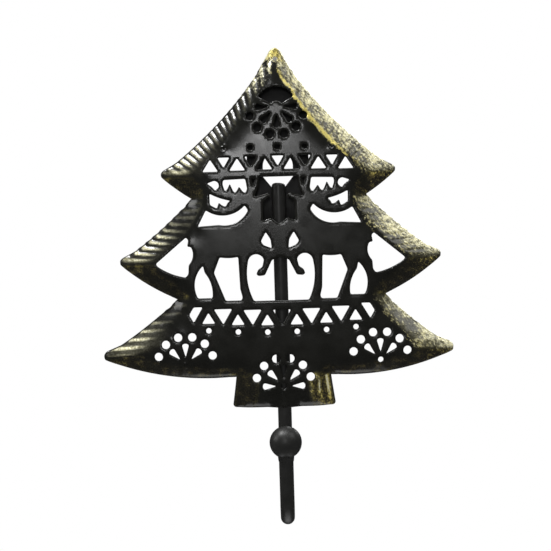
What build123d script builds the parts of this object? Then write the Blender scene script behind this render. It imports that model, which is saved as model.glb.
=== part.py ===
from build123d import *
from math import atan2, cos, degrees, radians, sin, sqrt
import os

# Wall hook in millimetres. A tree of pierced sheet steel with fluted rims bent back is welded to a round
# bar. The bar runs down behind the tree and turns up in front of it as a hook with a ball on its tip.
# Its top end is welded to a hanging plate, which lies flat on the wall.
# +Z is up, -Y faces the room and the wall is the plane Y = 0. The origin is on the wall, in the middle
# of the hanging hole's round top. The tree is drawn by half width and by height above its foot.

# Stock: the tree's sheet, the hook's bar and the hanging plate
sheet_t = 1.0
bar_d = 5.8
plate_t = 1.5

# Tree outline along the rim's rear edge, from the apex down to the foot
apex_h = 151.2
tip_1_w = 49.9
tip_1_h = 97.8
notch_1_w = 36.6
notch_1_h = 87.6
tip_2_w = 68.0
tip_2_h = 61.6
notch_2_w = 43.5
notch_2_h = 45.8
tip_3_w = 74.8
tip_3_h = 22.1
tip_3_lean = 1.9
waist_w = 19.8
waist_h = 12.7
foot_w = 21.6

# Rim: how far back it is bent, and how far the fold lies inside each corner of the outline
rim_depth = 5.5
apex_inset = 8.0
tip_1_inset = 14.9
tip_2_inset = 14.5
tip_3_inset = 17.4
notch_inset = 6.1
waist_inset = 4.5
waist_lift = 3.5
foot_inset = 5.0
foot_lift = 4.5
corner_r = 1.6
corner_ease = 0.08

# Bow of each stretch from its chord, outline and fold; the slopes bow inwards and the skirts outwards
slope_1_bow = 4.0
slope_2_bow = 1.2
slope_3_bow = 1.2
skirt_1_bow = 0.4
skirt_2_bow = 1.2
skirt_3_bow = 3.6
foot_bow = 0.8
fold_1_bow = 3.0
fold_2_bow = 4.0
fold_3_bow = 0.6
fold_skirt_bow = 2.5

# Flutes chased across the rims of the slopes
flute_r = 3.0
flute_depth = 0.3
flute_pitch_1 = 3.1
flute_pitch_2 = 4.2
flute_pitch_3 = 4.2
flute_end_gap = 3.0

# Small round holes in the pattern
dot_d = 2.3
dimple_depth = 0.5

# Lower row of triangles; it sags in the middle
low_base_h = 34.1
low_pitch = 12.2
low_up_w = 5.4
low_up_h = 4.5
low_down_w = 7.5
low_down_h = 6.3
low_sag = 1.3
low_dot_drop = 2.9

# Deer between the rows: the bar they stand on, the height of their panel and the bar over them
floor_bar = 3.9
panel_h = 51.3
panel_bar = 3.1

# Upper row of triangles
top_pitch = 11.25
top_up_w = 6.5
top_up_h = 5.1
top_down_w = 5.0
top_down_h = 4.2
top_down_lift = 1.4
top_sag = -0.5
top_dot_rise = 3.6

# Half flowers: petals round a hub and dots round the petals; the crown flower under the apex fills a share
# of its room over the upper dots and keeps a gap from them
flower_r = 11.75
flower_dot_d = 3.5
flower_dots = 6
dots_from = 18.0
petal_in_r = 3.2
petal_out_r = 8.1
petal_w = 2.9
side_flower_w = 40.4
side_flower_h = 18.6
foot_flower_h = 8.7
crown_fill = 0.27
crown_gap = 5.0
crown_hub_r = 2.5
crown_out_r = 8.5
crown_from = 30.0

# Hook, counted from the foot, and its ball
bar_top_h = 93.3
hook_r = 14.5
hook_drop = 28.4
ball_d = 12.7
ball_drop = 10.7
neck_d = 6.6
neck_l = 1.2
socket_depth = 4.0
socket_gap = 0.05
bar_end_r = 0.8

# Channel pressed into the foot's rim where the bar passes
channel_gap = 0.1

# Hanging plate, counted from the foot
plate_w = 26.0
plate_low_h = 74.8
plate_arch_h = 123.3
hang_h = 100.5
hang_w = 12.6
hang_side = 4.4
hang_point = 8.0
plate_corner_r = 3.0

# Places that follow from the sizes above
bar_r = bar_d / 2
bar_y = -(plate_t + bar_r)
sheet_back_y = bar_y - bar_r
sheet_front_y = sheet_back_y - sheet_t
floor_h = low_base_h + low_down_h + floor_bar
top_base_h = floor_h + panel_h + panel_bar
top_dot_h = top_base_h + top_down_lift + top_down_h + top_dot_rise
crown_r = crown_fill * (apex_h - top_dot_h)
crown_h = top_dot_h + crown_gap + crown_r


def upright(y):
    """A drawing plane facing the room at depth y, with its origin at the tree's foot."""
    return Plane(origin=(0, y, -hang_h), x_dir=(1, 0, 0), z_dir=(0, -1, 0))


def both_sides(shape):
    """A drawn shape and its mirror image across the tree's axis."""
    return [shape, mirror(shape, about=Plane.YZ)]


def ring(start, *steps):
    """A hole's face: each step is the end of a line, or the middle and end of an arc."""
    edges = []
    here = start
    for step in steps:
        if isinstance(step[0], tuple):
            middle, there = step
            edges.append(ThreePointArc(here, middle, there))
        else:
            there = step
            edges.append(Line(here, there))
        here = there
    return make_face(edges)


# Outline and fold, corner by corner down the right side
edge_corners = [
    (0, apex_h),
    (tip_1_w, tip_1_h),
    (notch_1_w, notch_1_h),
    (tip_2_w, tip_2_h),
    (notch_2_w, notch_2_h),
    (tip_3_w, tip_3_h),
    (waist_w, waist_h),
    (foot_w, 0),
]
fold_corners = [
    (0, apex_h - apex_inset),
    (tip_1_w - tip_1_inset, tip_1_h),
    (notch_1_w - notch_inset, notch_1_h),
    (tip_2_w - tip_2_inset, tip_2_h),
    (notch_2_w - notch_inset, notch_2_h),
    (tip_3_w - tip_3_inset, tip_3_h),
    (waist_w - waist_inset, waist_h + waist_lift),
    (foot_w - foot_inset, foot_lift),
]
edge_bows = [slope_1_bow, -skirt_1_bow, slope_2_bow, -skirt_2_bow, slope_3_bow, -skirt_3_bow, 0]
fold_bows = [fold_1_bow, 0, fold_2_bow, 0, fold_3_bow, -fold_skirt_bow, 0]


def bowed(start, end, bow):
    """A stretch of outline that bows off its chord, to the right of its way for a positive bow."""
    if bow == 0:
        return Line(start, end)
    along = Vector(*end) - Vector(*start)
    middle = (Vector(*start) + Vector(*end)) * 0.5 + Vector(-along.Y, along.X).normalized() * -bow
    return ThreePointArc(start, middle, end)


def side_edges(corners, bows, side):
    """The stretches down one side of an outline, drawn to the right; the lowest tips lean to the tree's left."""
    tip_w, tip_h = corners[5]
    leaning = corners[:5] + [(tip_w - side * tip_3_lean, tip_h)] + corners[6:]
    return [bowed(a, b, bow) for a, b, bow in zip(leaning, leaning[1:], bows)]


def outline(corners, bows):
    """The closed face of an outline, both sides and the bowed foot."""
    right = side_edges(corners, bows, 1)
    left = [mirror(edge, about=Plane.YZ) for edge in side_edges(corners, bows, -1)]
    foot_right = corners[-1]
    foot_left = (-foot_right[0], foot_right[1])
    foot = ThreePointArc(foot_right, (0, foot_right[1] - foot_bow), foot_left)
    return make_face(right + [foot] + left)


def dish(front_y):
    """The tree as a solid block: its flat front on the fold, its back on the rim's edge."""
    front = upright(front_y) * outline(fold_corners, fold_bows)
    back = upright(front_y + rim_depth) * outline(edge_corners, edge_bows)
    return loft([front, back], ruled=True)


def tip_cutter(tip, arriving, leaving):
    """What lies past a disc set into a tip; the disc stands a hair past both edges that meet there."""
    outward = (arriving - leaving).normalized()
    lean = outward.dot(arriving)
    spread = sqrt(1 - lean**2)
    inset = (corner_r - corner_ease) / spread
    start = (corner_r - corner_ease) * spread
    reach = inset + corner_r
    beyond = Pos((start + reach) / 2, 0) * Rectangle(reach - start, 4 * corner_r)
    centre = tip - outward * inset
    turned = Pos(centre.X, centre.Y) * Rot(0, 0, degrees(atan2(outward.Y, outward.X)))
    face = upright(sheet_front_y + 2 * rim_depth) * (turned * (beyond - Circle(corner_r)))
    return extrude(face, amount=3 * rim_depth)


def rounded_tips():
    """Cutters that round the apex, the tips and the corners of the foot."""
    fall = side_edges(edge_corners, edge_bows, 1)[0] % 0
    cutters = [tip_cutter(Vector(0, apex_h), Vector(fall.X, -fall.Y), fall)]
    for side in (1, -1):
        edges = side_edges(edge_corners, edge_bows, side)
        edges.append(Line(edges[-1] @ 1, (0, -foot_bow)))
        for before, after in zip(edges[0::2], edges[1::2]):
            cutter = tip_cutter(before @ 1, before % 1, after % 0)
            cutters.append(cutter if side == 1 else mirror(cutter, about=Plane.YZ))
    return cutters


def flutes():
    """Cutters for the flutes: round bars that lie on the rim and leave it at the fold."""
    slopes = ((0, flute_pitch_1), (2, flute_pitch_2), (4, flute_pitch_3))
    cutters = []
    for side, (slope, pitch) in [(side, slope) for side in (1, -1) for slope in slopes]:
        edge = upright(sheet_front_y + rim_depth) * side_edges(edge_corners, edge_bows, side)[slope]
        fold = upright(sheet_front_y) * side_edges(fold_corners, fold_bows, side)[slope]
        room = edge.length - 2 * flute_end_gap
        count = int(room / pitch) + 1
        for number in range(count):
            place = (flute_end_gap + room * (number + 0.5) / count) / edge.length
            rim_point = edge @ place
            fold_point = fold @ place
            outward = (fold_point - rim_point).cross(edge % place).normalized()
            if outward.Y > 0:
                outward = -outward
            low = rim_point + outward * (flute_r - flute_depth)
            high = fold_point + outward * flute_r
            run = (high - low).normalized()
            base = Plane(origin=low - run * flute_r, z_dir=run)
            cutter = Solid.make_cylinder(flute_r, (high - low).length + flute_r, base)
            cutters.append(cutter if side == 1 else mirror(cutter, about=Plane.YZ))
    return cutters


def row_height(base, sag, along):
    """Height of a row's base line at a place along it."""
    return base + sag * (along / (2.5 * low_pitch)) ** 2


def triangle_row(base, pitch, sag, up_w, up_h, down_w, down_h, down_lift):
    """Six triangles that point up and, between them, five that point down."""
    holes = []
    for number in range(6):
        x = (number - 2.5) * pitch
        h = row_height(base, sag, x)
        holes.append(ring((x - up_w / 2, h), (x + up_w / 2, h), (x, h + up_h), (x - up_w / 2, h)))
    for number in range(5):
        x = (number - 2) * pitch
        h = row_height(base, sag, x) + down_lift
        top = h + down_h
        holes.append(ring((x, h), (x + down_w / 2, top), (x - down_w / 2, top), (x, h)))
    return holes


def dots(places, diameter):
    """Round holes."""
    return [Pos(x, h) * Circle(diameter / 2) for x, h in places]


def end_windows():
    """The two last triangles of the lower row, cut short by the fold."""
    x = 3 * low_pitch
    h = row_height(low_base_h, low_sag, x)
    top = h + low_down_h
    short = low_down_w / 4
    cut = ring((x, h), (x + short, h + low_down_h / 2), (x, top), (x - low_down_w / 2, top), (x, h))
    return both_sides(cut)


def dimples():
    """Cutters for the two outermost upper dots, which are struck into the sheet but not through it."""
    punch_r = (dot_d**2 / 4 + dimple_depth**2) / (2 * dimple_depth)
    punch_y = sheet_front_y + dimple_depth - punch_r
    cutters = []
    for x in (-2 * top_pitch, 2 * top_pitch):
        height = row_height(top_dot_h, top_sag, x)
        cutters.append(Pos(x, punch_y, height - hang_h) * Sphere(punch_r))
    return cutters


def petal():
    """One petal, pointing along X from its hub."""
    half = petal_w / 2
    tip = ((petal_out_r + half / 2, 0), (petal_out_r, -half))
    return ring((petal_in_r, 0), (petal_out_r, half), tip, (petal_in_r, 0))


def flower(x, h, radius, petal_angles, way):
    """A half flower with its hub at x, h; way is 1 where it opens upwards and -1 where it opens downwards."""
    size = radius / flower_r
    step = (180 - 2 * dots_from) / (flower_dots - 1)
    angles = [radians(dots_from + step * number) for number in range(flower_dots)]
    places = [(x + radius * cos(angle), h + way * radius * sin(angle)) for angle in angles]
    petals = [Pos(x, h) * Rot(0, 0, way * angle) * scale(petal(), size) for angle in petal_angles]
    return dots(places, flower_dot_d * size) + petals


def crown_window():
    """The window over the crown flower's hub, between its two upper spokes."""
    size = crown_r / flower_r
    turns = [radians(turn) for turn in (crown_from, 90, 180 - crown_from)]
    inner = [(crown_hub_r * size * cos(turn), crown_h + crown_hub_r * size * sin(turn)) for turn in turns]
    outer = [(crown_out_r * size * cos(turn), crown_h + crown_out_r * size * sin(turn)) for turn in turns]
    return ring(inner[0], outer[0], (outer[1], outer[2]), inner[2], (inner[1], inner[0]))


def deer():
    """The openings that leave a pair of deer standing, drawn for the right one above its floor."""
    legs = ring(
        (0, 0), (11.4, 0), ((13.9, 8.5), (13.5, 16.2)), ((10.4, 19.3), (6.9, 17.0)), (7.6, 14.0), (9.4, 12.9),
        (10.2, 11.0), (9.2, 10.2), (6.6, 10.5), (3.5, 16.8), (0, 18.0), (0, 0),
    )
    heads = ring(
        (0, panel_h), (7.9, panel_h), (8.6, 46.5), (10.1, 43.1), (4.4, 44.6), (3.3, 43.4), (6.5, 41.0), (6.7, 33.0),
        (3.4, 34.3), (0, 31.7), (0, panel_h),
    )
    belly = ring(
        (25.2, 18.4), ((21.4, 18.0), (17.5, 18.4)), (17.0, 5.0), (16.1, 1.6), (16.6, 0.4), (23.1, 0.4),
        (27.7, 12.1), (25.2, 18.4),
    )
    hind = ring(
        (32.2, 15.1), ((35.4, 10.0), (34.6, 1.7)), (28.6, 1.7), ((29.0, 7.4), (31.6, 12.3)), (32.2, 15.1),
    )
    rump = ring(
        (51.8, 16.4), (39.0, 27.1), (38.0, 26.0), (38.5, 23.2), (37.0, 23.1), ((36.2, 19.8), (38.1, 15.6)),
        (38.3, 11.9), (39.4, 10.5), ((45.8, 12.4), (51.0, 15.3)), (51.8, 16.4),
    )
    chest = ring((5.8, 28.4), (3.9, 25.3), (3.5, 21.7), (6.8, 23.0), (7.9, 24.6), (5.8, 28.4))
    back = ring(
        (30.4, 38.1), ((22.8, 35.7), (14.2, 39.7)), (12.9, 37.6), ((16.4, 33.5), (25.0, 31.9)), (33.9, 31.4),
        (30.4, 38.1),
    )
    low_antler = ring(
        (28.7, 44.9), ((24.6, 43.0), (20.2, 41.8)), (21.3, 40.9), (22.0, 39.4), (23.3, 39.8), (24.9, 41.2),
        (25.7, 38.7), (28.6, 40.3), (28.7, 44.9),
    )
    high_antler = ring(
        (22.9, panel_h - 0.9), (13.7, panel_h - 0.6), (13.0, 46.4), (13.8, 44.8), (14.8, 45.4), (16.3, 47.6),
        (17.4, 45.6), (18.2, 45.0), (18.9, 46.0), (20.1, 48.9), (21.3, 46.4), (22.2, 45.8), (23.1, 48.5),
        (22.9, panel_h - 0.9),
    )
    antler_tip = ring(
        (29.6, 49.2), (26.4, panel_h - 1.0), (24.9, 49.4), (24.6, 47.6), (26.2, 46.1), (27.4, 47.6), (29.6, 49.2),
    )
    ear = ring((11.2, panel_h - 0.6), (9.5, panel_h - 0.6), (10.3, 47.5), (11.2, panel_h - 0.6))
    right = (legs, heads, belly, hind, rump, chest, back, low_antler, high_antler, antler_tip, ear)
    return [Pos(0, floor_h) * hole for shape in right for hole in both_sides(shape)]


def piercing():
    """Every hole in the tree, drawn on its face."""
    low_places = [(number - 2.5) * low_pitch for number in range(6)]
    low_dots = [(x, row_height(low_base_h, low_sag, x) - low_dot_drop) for x in low_places]
    top_places = [(number - 1) * top_pitch for number in range(3)]
    top_dots = [(x, row_height(top_dot_h, top_sag, x)) for x in top_places]
    hubs = [(side_flower_w, side_flower_h), (0, foot_flower_h)]
    holes = triangle_row(low_base_h, low_pitch, low_sag, low_up_w, low_up_h, low_down_w, low_down_h, 0)
    holes += end_windows()
    holes += triangle_row(top_base_h, top_pitch, top_sag, top_up_w, top_up_h, top_down_w, top_down_h, top_down_lift)
    holes += dots(low_dots + top_dots + hubs, dot_d)
    for x in (side_flower_w, -side_flower_w):
        holes += flower(x, side_flower_h, flower_r, (45, 90, 135), 1)
    holes += flower(0, foot_flower_h, flower_r, (0, 45, 90, 135, 180), 1)
    holes += flower(0, crown_h, crown_r, (0, 45, 90, 135, 180), -1)
    holes += [crown_window()]
    return holes + deer()


def tree_plate():
    """The pierced sheet with its fluted rims and the channel in its foot."""
    shell = dish(sheet_front_y) - dish(sheet_front_y + sheet_t)
    shell = shell - rounded_tips()
    bar_line = Plane(origin=(0, bar_y, -hang_h - foot_bow), z_dir=(0, 0, 1))
    channel_r = bar_r + channel_gap
    channel = Solid.make_cylinder(bar_r + sheet_t, foot_lift + foot_bow, bar_line)
    front_half = Pos(0, bar_y - bar_r, -hang_h) * Box(4 * bar_d, 2 * bar_r, 4 * foot_lift)
    shell = shell + (channel & front_half)
    shell = shell - flutes()
    shell = shell - Solid.make_cylinder(channel_r, foot_lift + foot_bow, bar_line)
    holes = extrude(upright(sheet_front_y) * Sketch(piercing()), amount=rim_depth, both=True)
    return shell - holes - dimples()


def hook_bar():
    """The bar: straight down behind the tree, round the hook and up into the ball."""
    turn_z = -hang_h - hook_drop
    top_z = bar_top_h - hang_h
    front_y = bar_y - 2 * hook_r
    tip_z = -hang_h - ball_drop - ball_d / 2 + socket_depth
    section = Plane(origin=(0, bar_y, turn_z)) * Circle(bar_r)
    bend_axis = Axis((0, bar_y - hook_r, turn_z), (1, 0, 0))
    bend = revolve(section, axis=bend_axis, revolution_arc=-180)
    shank = Solid.make_cylinder(bar_r, top_z - turn_z, Plane(origin=(0, bar_y, turn_z)))
    shank = fillet(shank.edges().sort_by(Axis.Z)[-1], bar_end_r)
    tip = Solid.make_cylinder(bar_r, tip_z - turn_z, Plane(origin=(0, front_y, turn_z)))
    return shank + bend + tip


def hook_ball():
    """The ball with its short neck, bored for the bar's end."""
    front_y = bar_y - 2 * hook_r
    ball_z = -hang_h - ball_drop
    neck_z = ball_z - ball_d / 2 - neck_l
    ball = Pos(0, front_y, ball_z) * Sphere(ball_d / 2)
    neck = Solid.make_cylinder(neck_d / 2, neck_l + ball_d / 4, Plane(origin=(0, front_y, neck_z)))
    socket = Solid.make_cylinder(
        bar_r + socket_gap, neck_l + socket_depth, Plane(origin=(0, front_y, neck_z))
    )
    return ball + neck - socket


def hanging_plate():
    """The plate on the wall: an arched top, and a hole with a round top and a pointed bottom."""
    half = plate_w / 2
    face = ring(
        (half, plate_low_h), (half, plate_arch_h), ((0, plate_arch_h + half), (-half, plate_arch_h)),
        (-half, plate_low_h), (half, plate_low_h),
    )
    low_corners = face.vertices().sort_by(Axis.Y)[:2]
    face = fillet(low_corners, plate_corner_r)
    side = hang_w / 2
    hole = ring(
        (side, hang_h), ((0, hang_h + side), (-side, hang_h)), (-side, hang_h - hang_side),
        (0, hang_h - hang_side - hang_point), (side, hang_h - hang_side), (side, hang_h),
    )
    return extrude(upright(0) * (face - hole), amount=plate_t)


os.makedirs("parts", exist_ok=True)
export_step(tree_plate(), "parts/tree_plate.step")
export_step(hook_bar(), "parts/hook_bar.step")
export_step(hook_ball(), "parts/hook_ball.step")
export_step(hanging_plate(), "parts/hanging_plate.step")
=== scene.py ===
# %% [markdown]
# # A gilded tree hook
# The object is a small wall hook: a fir tree pierced in sheet steel, a round bar behind it that turns up as a
# hook, a ball on its tip and a plate with a hole to hang it by. It was painted black, and gold was brushed
# over the raised rims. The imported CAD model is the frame: every piece below is measured from it and stays on
# it.

# %% Open the frame
import math

import bmesh
import bpy
import numpy as np
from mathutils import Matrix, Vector, noise as cloud
from mathutils.bvhtree import BVHTree
from mathutils.geometry import delaunay_2d_cdt
from mathutils.kdtree import KDTree


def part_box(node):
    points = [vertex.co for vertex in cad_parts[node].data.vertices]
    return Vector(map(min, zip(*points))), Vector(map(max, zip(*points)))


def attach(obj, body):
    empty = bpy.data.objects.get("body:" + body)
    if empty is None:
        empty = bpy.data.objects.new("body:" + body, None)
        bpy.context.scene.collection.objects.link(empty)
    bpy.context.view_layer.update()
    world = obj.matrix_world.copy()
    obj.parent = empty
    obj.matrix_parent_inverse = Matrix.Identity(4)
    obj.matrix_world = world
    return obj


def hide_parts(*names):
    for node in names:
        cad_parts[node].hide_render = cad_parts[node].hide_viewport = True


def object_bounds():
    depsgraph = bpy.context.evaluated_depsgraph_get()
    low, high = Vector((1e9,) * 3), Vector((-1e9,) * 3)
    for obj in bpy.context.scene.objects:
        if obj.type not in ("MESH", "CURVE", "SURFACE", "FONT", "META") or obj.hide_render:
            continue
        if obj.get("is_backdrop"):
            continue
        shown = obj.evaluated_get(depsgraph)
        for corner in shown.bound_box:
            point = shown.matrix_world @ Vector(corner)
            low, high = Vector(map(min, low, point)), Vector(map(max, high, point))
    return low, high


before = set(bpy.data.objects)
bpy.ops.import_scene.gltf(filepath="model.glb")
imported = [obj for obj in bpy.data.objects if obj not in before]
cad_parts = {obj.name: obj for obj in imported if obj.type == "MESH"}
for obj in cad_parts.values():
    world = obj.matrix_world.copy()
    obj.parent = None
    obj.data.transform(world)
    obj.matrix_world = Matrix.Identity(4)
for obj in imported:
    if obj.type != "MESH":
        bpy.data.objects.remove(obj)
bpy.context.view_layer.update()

MM = 0.001

# %% [markdown]
# ## Reading the sheet
# The tree was cut from sheet steel, and its edge was bent back. Its CAD node arrives as loose triangles:
# front, back and cut edges together. It could be painted as it is, but soft folds and brushed gold need a
# finer mesh, which is measured from the front alone. So the faces that look away are dropped from a merged
# copy.

# %% Front skin
SKIN_FACING = -0.02
MERGE = 0.002


def front_skin(node):
    """The faces of a CAD node that look towards the room, as a mesh in millimetres."""
    skin = bmesh.new()
    skin.from_mesh(node.data)
    bmesh.ops.scale(skin, verts=skin.verts, vec=(1 / MM,) * 3)
    bmesh.ops.remove_doubles(skin, verts=skin.verts, dist=MERGE)
    skin.normal_update()
    away = [face for face in skin.faces if face.normal.y > SKIN_FACING]
    bmesh.ops.delete(skin, geom=away, context="FACES")
    return skin


skin = front_skin(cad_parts["tree_plate"])
print("faces of the front:", len(skin.faces))

# %% [markdown]
# ## Outline and openings
# The open edges of that skin are the tree's outline and the rims of its openings: deer, triangles, half
# flowers and dots. They could be drawn again by hand, but reading them keeps the scene true to the CAD if its
# sizes change. A walk along open edges also runs into slits and straight back, so those are taken out.

# %% Loops of the skin
SAME_POINT = 0.05
HOLE_AREA = -1.0


def open_loops(skin):
    """The open edges of a skin as closed loops of (x, z), with the metal on the left of the way round."""
    follow = {}
    for edge in skin.edges:
        if edge.is_boundary:
            corner = edge.link_loops[0]
            follow.setdefault(corner.vert, []).append(corner.link_loop_next.vert)
    loops = []
    while follow:
        here, loop = next(iter(follow)), []
        while here in follow:
            loop.append(np.array((here.co.x, here.co.z)))
            ways_on = follow[here]
            there = ways_on.pop()
            if not ways_on:
                del follow[here]
            here = there
        loops.append(loop)
    return loops


def without_slits(loop):
    """The loop with the slits taken out where it runs in and straight back."""
    kept = []
    for point in loop:
        if kept and np.linalg.norm(point - kept[-1]) < SAME_POINT:
            continue
        while len(kept) > 1 and np.linalg.norm(point - kept[-2]) < SAME_POINT:
            kept.pop()
            kept.pop()
        kept.append(point)
    return np.array(kept)


def area(loop):
    """Area inside a loop: more than zero round metal, less than zero round a hole."""
    x, z = loop[:, 0], loop[:, 1]
    return 0.5 * float(np.sum(x * np.roll(z, -1) - np.roll(x, -1) * z))


loops = [without_slits(loop) for loop in open_loops(skin)]
outline = max(loops, key=area)
holes = [loop for loop in loops if area(loop) < HOLE_AREA]
print("outline points:", len(outline), "holes:", len(holes))

# %% [markdown]
# ## Even loops
# Flutes that are hammered into a rim press metal aside and take none away, so the real outline runs straight
# past their ends, and past the channel that is pressed into the foot. The CAD's outline has a notch at each
# of them, which would look like saw teeth. It could be smoothed all over, but that would melt the corners. So
# the points are spread evenly, and the outline is drawn along its outermost points, except at corners.

# %% Even loops
EDGE_STEP = 0.55
HOLE_STEP = 0.32
FLUTE_PITCH = 4.2
CORNER_TURN = 0.35
CHANNEL_W, CHANNEL_H = 8.5, 4.0


def even(loop, step=EDGE_STEP):
    """The loop with points added so that none of its steps is longer than step."""
    points = []
    for a, b in zip(loop, np.roll(loop, -1, axis=0)):
        parts = max(1, math.ceil(np.linalg.norm(b - a) / step))
        points += [a + (b - a) * part / parts for part in range(parts)]
    return np.array(points)


def around(values, reach, how):
    """Mean or maximum of the values within reach steps along a closed loop."""
    return how([np.roll(values, k, axis=0) for k in range(-reach, reach + 1)], axis=0)


def unnotched(loop):
    """The loop drawn along its outermost points, without the notches that the flutes leave; corners stay."""
    reach = round(0.6 * FLUTE_PITCH / EDGE_STEP)
    mean = around(loop, reach, np.mean)
    ahead = np.roll(mean, -reach, axis=0) - mean
    behind = mean - np.roll(mean, reach, axis=0)
    turn = np.abs(np.angle((ahead[:, 0] + 1j * ahead[:, 1]) / (behind[:, 0] + 1j * behind[:, 1] + 1e-12)))
    way = np.roll(mean, -1, axis=0) - np.roll(mean, 1, axis=0)
    outward = np.stack([way[:, 1], -way[:, 0]], 1) / np.linalg.norm(way, axis=1)[:, None]
    stand = around(np.sum((loop - mean) * outward, axis=1), reach, np.max)
    bridged = mean + outward * around(stand, reach, np.mean)[:, None]
    corner = around((turn > CORNER_TURN).astype(float), 2 * reach, np.max)
    share = around(corner, reach, np.mean)[:, None]
    return loop * share + bridged * (1 - share)


in_channel = (outline[:, 1] < outline[:, 1].min() + CHANNEL_H) & (np.abs(outline[:, 0]) < CHANNEL_W)
outline = even(unnotched(even(outline[~in_channel])))
holes = [around(even(hole, HOLE_STEP), 2, np.mean) for hole in holes]
print("even points on the outline:", len(outline), "on the holes:", sum(len(hole) for hole in holes))

# %% [markdown]
# ## Blunt tips and a rounded top
# Sheet that is folded on both sides of a tip ends bluntly, and so does each of the tree's six tips, while the
# CAD keeps them sharp. A bevel would shorten them. Instead, the points at a tip are pushed out round a small
# disc, and the convex hull of the points nearby joins the disc to the straight edges. The discs of the lowest
# tier are larger.

# %% Blunt tips
TIP_OUT = 30.0
TIP_STEPS = 30
TIP_R, LOW_TIP_R = 1.6, 2.2
LOW_TIER_Z = -60.0
TIP_LIFT = 0.35
TIP_NEAR, TIP_LONG = 4.0, 7.0


def hull_order(points):
    """Numbers of the points on the convex hull of a few points, in the order of the points."""
    ranked = sorted(range(len(points)), key=lambda k: tuple(points[k]))
    kept = set()
    for run in (ranked, ranked[::-1]):
        chain = []
        for k in run:
            while len(chain) > 1:
                (ax, ay), (bx, by) = points[chain[-1]] - points[chain[-2]], points[k] - points[chain[-1]]
                if ax * by - ay * bx > 0:
                    break
                chain.pop()
            chain.append(k)
        kept.update(chain)
    return sorted(kept)


width = np.abs(outline[:, 0])
tips = outline[(width == around(width, TIP_STEPS, np.max)) & (width > TIP_OUT)]
tips = np.unique(tips.round(1), axis=0)
for point in tips:
    far = np.linalg.norm(outline - point, axis=1)
    inward = outline[(far > TIP_NEAR) & (far < TIP_LONG)].mean(0) - point
    radius = TIP_R if point[1] > LOW_TIER_Z else LOW_TIP_R
    centre = point + inward / np.linalg.norm(inward) * radius + (0, TIP_LIFT)
    far = np.maximum(np.linalg.norm(outline - centre, axis=1), 1e-6)
    outline = centre + (outline - centre) * np.maximum(1, radius / far)[:, None]
    outline = np.roll(outline, len(outline) // 2 - far.argmin(), axis=0)
    near = np.flatnonzero(np.linalg.norm(outline - centre, axis=1) < TIP_LONG)
    chosen = near[hull_order(outline[near])]
    outline = even(np.concatenate([outline[:near[0]], outline[chosen], outline[near[-1] + 1:]]))
print("tips at mm:", tips.tolist())

# %% [markdown]
# The top of the tree is one more blunt end, but it stands upright. There the outline is widened to a round
# cap that runs out into a slope. All seven ends are then smoothed a little, so that no corner of a disc is
# left.

# %% Rounded top
CROWN_R, CROWN_SLOPE, CROWN_LONG = 1.6, 0.6, 10.0
BLUNT_LONG = 2.0

crown = outline[outline[:, 1].argmax()]
below = crown[1] - outline[:, 1]
cap = CROWN_R * np.sqrt(1 - (1 - np.clip(below / CROWN_R, 0, 1)) ** 2) + CROWN_SLOPE * below
wider = np.sign(outline[:, 0]) * np.maximum(np.abs(outline[:, 0]), cap)
outline[:, 0] = np.where(below < CROWN_LONG, wider, outline[:, 0])
outline = even(outline)
ends = np.concatenate([tips, [crown]])
to_end = np.linalg.norm(outline[:, None] - ends[None], axis=2).min(1)
blunt = np.clip(2 - to_end / BLUNT_LONG, 0, 1)[:, None]
outline = outline * (1 - blunt) + around(around(outline, 2, np.mean), 1, np.mean) * blunt
print("blunt ends:", len(ends), "points on the outline:", len(outline))

# %% [markdown]
# ## Distances and insides
# Paint and sheet both behave differently close to an edge, so two questions come up again and again: how far
# is a point from the nearest rim, and is it on metal? Blender can answer both on meshes, but here everything
# is still flat. A search tree of the rims' points answers the first, and counting crossed sides the second.

# %% Rims as search trees
rims = [outline] + holes
rim_points = np.concatenate(rims)


def tree_of(points):
    """A search tree of flat points."""
    tree = KDTree(len(points))
    for number, point in enumerate(points):
        tree.insert((point[0], point[1], 0), number)
    tree.balance()
    return tree


rim_tree = tree_of(rim_points)


def off_rim(points, tree=rim_tree):
    """Distance of each point from the nearest point of a tree, which is any rim's unless another is given."""
    return np.array([tree.find((x, z, 0))[2] for x, z in points])


def inside(points, loop):
    """Which of the points lie inside a closed loop, by counting the sides that a ray crosses."""
    result = np.zeros(len(points), bool)
    for a, b in zip(loop, np.roll(loop, -1, axis=0)):
        spans = (a[1] > points[:, 1]) != (b[1] > points[:, 1])
        if not spans.any():
            continue
        cross = a[0] + (points[:, 1] - a[1]) / (b[1] - a[1] + 1e-12) * (b[0] - a[0])
        result ^= spans & (points[:, 0] < cross)
    return result


def on_metal(points):
    """Which of the points are inside the outline and in none of the holes."""
    result = inside(points, outline)
    for hole in holes:
        low, high = hole.min(0), hole.max(0)
        near = np.all((points > low) & (points < high), axis=1)
        if near.any():
            result[np.flatnonzero(near)[inside(points[near], hole)]] = False
    return result


print("rims:", len(rims), "points on them:", len(rim_points))

# %% [markdown]
# ## Points of the finer sheet
# On the real hook every cut edge rolls back under the paint and catches the light. A bevel would stumble over
# the many small corners of the pattern, so two rows of points are laid just inside each rim, to be pushed
# back later.

# %% Rows along the rims
EDGE_W = 0.7
ROW_PLACES = (0.4, 1.0)
ROW_CLEAR = 0.85

inner = []
for rim in rims:
    way = np.roll(rim, -1, axis=0) - np.roll(rim, 1, axis=0)
    aside = np.stack([-way[:, 1], way[:, 0]], 1) / np.maximum(np.linalg.norm(way, axis=1), 1e-9)[:, None]
    for share in ROW_PLACES:
        row = rim + aside * EDGE_W * share
        inner.append(row[off_rim(row) > ROW_CLEAR * EDGE_W * share])
inner = np.concatenate(inner)
inner = inner[on_metal(inner)]
print("points in rows:", len(inner))

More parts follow.
